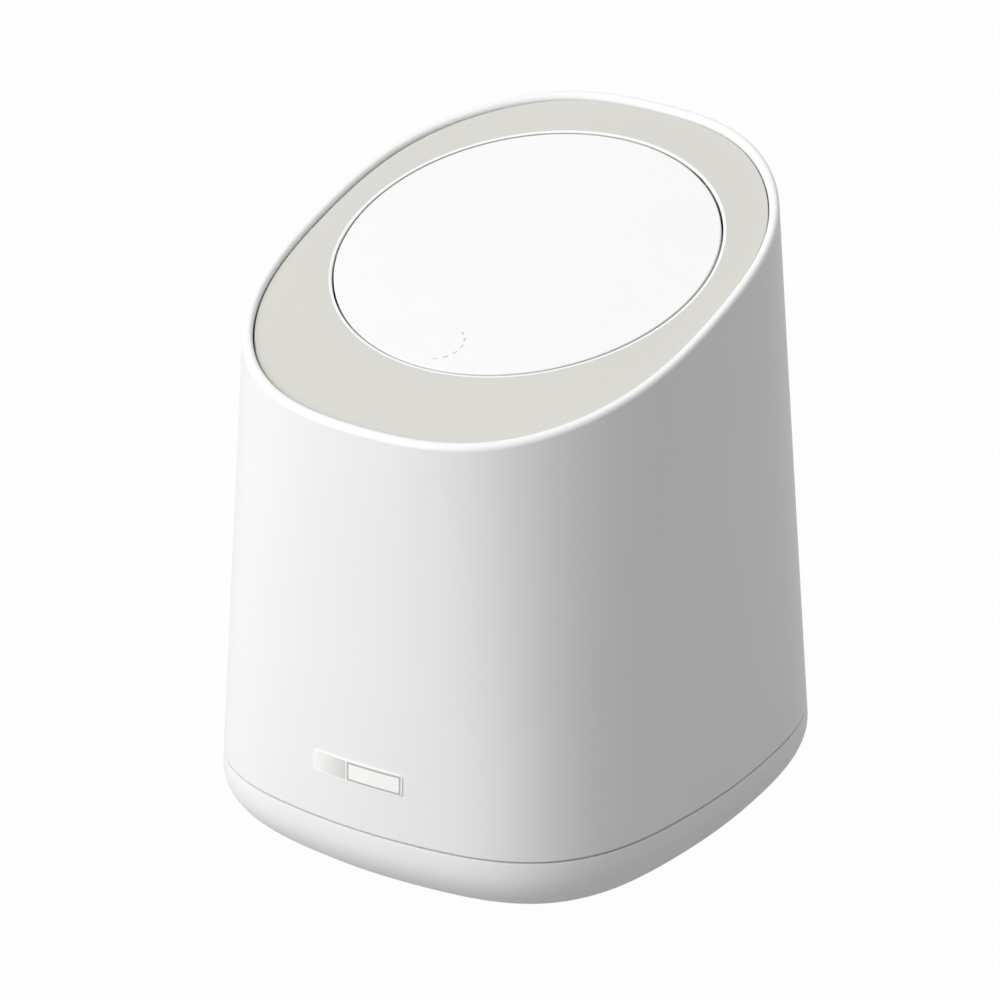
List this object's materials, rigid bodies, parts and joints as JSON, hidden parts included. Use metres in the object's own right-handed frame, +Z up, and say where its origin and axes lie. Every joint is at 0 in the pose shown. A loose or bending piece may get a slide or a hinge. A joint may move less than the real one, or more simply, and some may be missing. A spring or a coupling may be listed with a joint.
{
  "type": "push top countertop bin",
  "caption": "Slant-topped countertop bin with a round press-to-open lid in a grey ring, a lift-out inner bucket and a rounded base cup.",
  "frame": {"origin": "centre of the bounding box's underside, where the feet stand", "axes": "+Z up, front of the bin (low side of the slanted top) faces -Y, +X is to the right of someone facing +Y"},
  "size_m": [0.1465, 0.1668, 0.1942],
  "materials": {
    "white_shell": "smooth satin-gloss moulded plastic",
    "white_base": "smooth satin-gloss moulded plastic",
    "foot_rubber": "matt",
    "label_foil": "satin foil",
    "grey_ring": "fine satin",
    "grey_frame": "moulded, plain",
    "steel_screw": "plated",
    "pad_rubber": "matt",
    "steel_pin": "ground",
    "spring_steel": "drawn wire",
    "white_lid": "gloss",
    "grey_liner": "moulded, plain",
    "white_acetal": "slick",
    "dark_acetal": "slick",
    "grey_bucket": "fine satin"
  },
  "bodies": {
    "housing": {"outer_shell": "white_shell", "base_cup": "white_base", "foot_pads": "foot_rubber", "label_plate": "label_foil"},
    "bucket": {"inner_bucket": "grey_bucket"},
    "top": {"top_ring": "grey_ring", "ring_frame": "grey_frame", "frame_screws": "steel_screw", "stop_pads": "pad_rubber", "lid_spring_left": "spring_steel", "lid_spring_right": "spring_steel", "latch_housing": "dark_acetal", "latch_cover": "dark_acetal", "latch_screws": "steel_screw", "latch_follower": "spring_steel", "latch_spring": "spring_steel"},
    "pin": {"hinge_pin": "steel_pin"},
    "lid": {"lid_cover": "white_lid", "lid_liner": "grey_liner", "lid_screws": "steel_screw", "striker": "white_acetal"},
    "latch": {"latch_slider": "white_acetal", "latch_jaws": "dark_acetal"}
  },
  "joints": [
    {"name": "top_lift", "type": "slide", "parent": "housing", "child": "top", "axis": [0, 0, 1], "range_m": [0, 0.44]},
    {"name": "bucket_lift", "type": "slide", "parent": "housing", "child": "bucket", "axis": [0, 0, 1], "range_m": [0, 0.22]},
    {"name": "lid_press", "type": "hinge", "parent": "top", "child": "pin", "pos_m": [0, 0.04596, 0.18263], "axis": [-1, 0, 0], "range_deg": [-1.62, 0], "stiffness_Nm_per_rad": 2, "springref_deg": 2.86},
    {"name": "lid_open", "type": "hinge", "parent": "pin", "child": "lid", "pos_m": [0, 0.04596, 0.18263], "axis": [-1, 0, 0], "range_deg": [0, 82], "deforming": ["lid_spring_left", "lid_spring_right", "latch_jaws"]},
    {"name": "latch_travel", "type": "slide", "parent": "top", "child": "latch", "axis": [0, -0.3052, 0.9523], "range_m": [-0.0026, 0], "deforming": ["latch_spring"]}
  ],
  "couplings": [
    {"joint": "bucket_lift", "follows": "top_lift", "ratio": 0.5},
    {"joint": "latch_travel", "follows": "lid_press", "m_per_rad": 0.0918}
  ]
}
